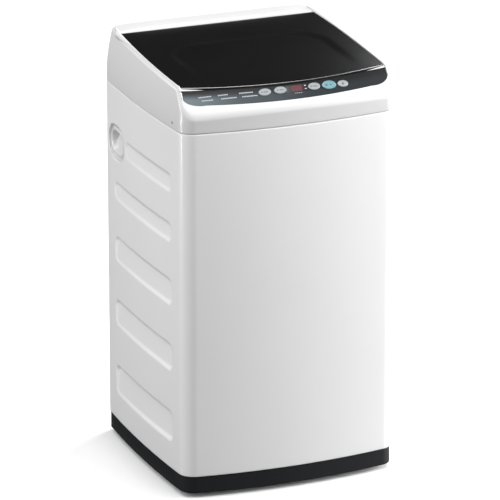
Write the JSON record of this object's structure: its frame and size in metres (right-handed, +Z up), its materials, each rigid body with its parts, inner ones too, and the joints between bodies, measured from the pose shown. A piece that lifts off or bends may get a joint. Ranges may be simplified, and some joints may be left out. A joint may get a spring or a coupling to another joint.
{
  "type": "top load washing machine",
  "caption": "Compact top load washing machine with ribbed white cabinet, sloped control panel, hinged dark lid, hanging tub, spinning basket and pulsator.",
  "frame": {"origin": "on the floor, under the middle of the machine", "axes": "+Z up, longest extent; +Y towards the rear, with the water inlet and drain; +X to the right seen from the front"},
  "size_m": [0.51, 0.49, 0.9412],
  "materials": {
    "body_white": "gloss enamel",
    "cover_white": "gloss",
    "drawer_white": "satin",
    "galvanised_sheet": "zinc coated, dull",
    "zinc_steel": "zinc plated",
    "spring_steel": "satin",
    "stainless": "polished stainless",
    "base_charcoal": "satin",
    "foot_rubber": "matte",
    "plug_grey": "satin",
    "panel_slate": "satin gloss",
    "display_red": "dark tinted window",
    "indicator_pale": "translucent",
    "circuit_green": "solder mask",
    "button_silver": "silver paint",
    "button_blue": "pale blue, pearl",
    "lid_black": "high gloss",
    "trim_silver": "bright anodised",
    "ivory_plastic": "moulded",
    "hose_rubber": "matte",
    "aluminium_can": "drawn can",
    "seat_plastic": "moulded",
    "tub_plastic": "moulded polypropylene",
    "basket_plastic": "moulded",
    "pulsator_plastic": "gloss moulded",
    "cast_alloy": "as cast",
    "motor_grey": "baked paint"
  },
  "bodies": {
    "cabinet_assembly": {"cabinet": "body_white", "rear_panel": "galvanised_sheet", "rear_panel_screws": "zinc_steel", "base_frame": "base_charcoal", "bottom_guard": "base_charcoal", "rear_feet": "foot_rubber", "side_handle_left": "cover_white", "side_handle_right": "cover_white", "side_plugs": "plug_grey", "top_cover": "cover_white", "rear_deck": "cover_white", "control_panel": "panel_slate", "display_window": "display_red", "indicator_lights": "indicator_pale", "control_board": "circuit_green", "lid_switch": "plug_grey", "dispenser_housing": "cover_white", "inlet_valve": "ivory_plastic", "fill_pipe": "ivory_plastic", "water_level_sensor": "ivory_plastic", "pressure_hose": "hose_rubber", "cord_gland": "hose_rubber", "motor_capacitor": "aluminium_can", "drain_outlet": "plug_grey", "drain_hose": "hose_rubber", "corner_brackets": "galvanised_sheet", "suspension_rods": "zinc_steel", "spring_seats": "seat_plastic", "suspension_springs": "spring_steel"},
    "lid_assembly": {"lid": "lid_black", "lid_trim": "trim_silver", "lid_hinge_pins": "zinc_steel", "lid_magnet": "plug_grey"},
    "drawer": {"detergent_drawer": "drawer_white"},
    "foot_left": {"foot_front_left": "foot_rubber"},
    "foot_right": {"foot_front_right": "foot_rubber"},
    "tub_assembly": {"outer_tub": "tub_plastic", "tub_ring": "tub_plastic", "tub_seal": "hose_rubber", "mounting_bracket": "galvanised_sheet", "gear_case": "cast_alloy", "motor": "motor_grey", "drive_belt": "hose_rubber", "drain_valve": "ivory_plastic", "drain_actuator": "ivory_plastic", "spring_caps": "seat_plastic"},
    "basket_assembly": {"basket": "stainless", "balance_ring": "tub_plastic", "basket_base": "basket_plastic", "lint_filters": "drawer_white"},
    "pulsator_assembly": {"pulsator": "pulsator_plastic", "pulsator_cap": "drawer_white"},
    "clutch_pulley_body": {"clutch_pulley": "cast_alloy"},
    "motor_pulley_body": {"motor_pulley": "cast_alloy"},
    "button_program_body": {"button_program": "button_silver"},
    "button_water_level_body": {"button_water_level": "button_silver"},
    "button_delay_body": {"button_delay": "button_silver"},
    "button_start_body": {"button_start": "button_blue"},
    "button_power_body": {"button_power": "button_silver"}
  },
  "joints": [
    {"name": "lid_hinge", "type": "hinge", "parent": "cabinet_assembly", "child": "lid_assembly", "pos_m": [0, 0.18057, 0.928], "axis": [-1, 0, 0], "range_deg": [0, 98]},
    {"name": "drawer_slide", "type": "slide", "parent": "cabinet_assembly", "child": "drawer", "axis": [0, -1, 0], "range_m": [0, 0.05]},
    {"name": "press_program", "type": "slide", "parent": "cabinet_assembly", "child": "button_program_body", "axis": [0.0423, 0.7654, -0.6422], "range_m": [0, 0.0015], "stiffness_N_per_m": 500, "springref_m": -0.001},
    {"name": "press_water_level", "type": "slide", "parent": "cabinet_assembly", "child": "button_water_level_body", "axis": [0.0172, 0.7659, -0.6427], "range_m": [0, 0.0015], "stiffness_N_per_m": 500, "springref_m": -0.001},
    {"name": "press_delay", "type": "slide", "parent": "cabinet_assembly", "child": "button_delay_body", "axis": [-0.0388, 0.7655, -0.6423], "range_m": [0, 0.0015], "stiffness_N_per_m": 500, "springref_m": -0.001},
    {"name": "press_start", "type": "slide", "parent": "cabinet_assembly", "child": "button_start_body", "axis": [-0.0638, 0.7645, -0.6415], "range_m": [0, 0.0015], "stiffness_N_per_m": 500, "springref_m": -0.001},
    {"name": "press_power", "type": "slide", "parent": "cabinet_assembly", "child": "button_power_body", "axis": [-0.0873, 0.7631, -0.6403], "range_m": [0, 0.0015], "stiffness_N_per_m": 500, "springref_m": -0.001},
    {"name": "level_foot_left", "type": "slide", "parent": "cabinet_assembly", "child": "foot_left", "axis": [0, 0, -1], "range_m": [0, 0.01]},
    {"name": "level_foot_right", "type": "slide", "parent": "cabinet_assembly", "child": "foot_right", "axis": [0, 0, -1], "range_m": [0, 0.01]},
    {"name": "tub_bounce", "type": "slide", "parent": "cabinet_assembly", "child": "tub_assembly", "axis": [0, 0, 1], "range_m": [-0.025, 0], "stiffness_N_per_m": 12000, "springref_m": 0.028, "deforming": ["suspension_springs", "pressure_hose", "drain_hose"]},
    {"name": "basket_spin", "type": "hinge", "parent": "tub_assembly", "child": "basket_assembly", "pos_m": [0, 0, 0.236], "axis": [0, 0, 1], "continuous": true},
    {"name": "pulsator_spin", "type": "hinge", "parent": "tub_assembly", "child": "pulsator_assembly", "pos_m": [0, 0, 0.258], "axis": [0, 0, 1], "continuous": true},
    {"name": "clutch_pulley_spin", "type": "hinge", "parent": "tub_assembly", "child": "clutch_pulley_body", "pos_m": [0, 0, 0.106], "axis": [0, 0, 1], "continuous": true},
    {"name": "motor_pulley_spin", "type": "hinge", "parent": "tub_assembly", "child": "motor_pulley_body", "pos_m": [0.14, 0, 0.106], "axis": [0, 0, 1], "continuous": true}
  ],
  "couplings": [
    {"joint": "clutch_pulley_spin", "follows": "pulsator_spin", "ratio": 5.2},
    {"joint": "motor_pulley_spin", "follows": "pulsator_spin", "ratio": 16.73}
  ]
}
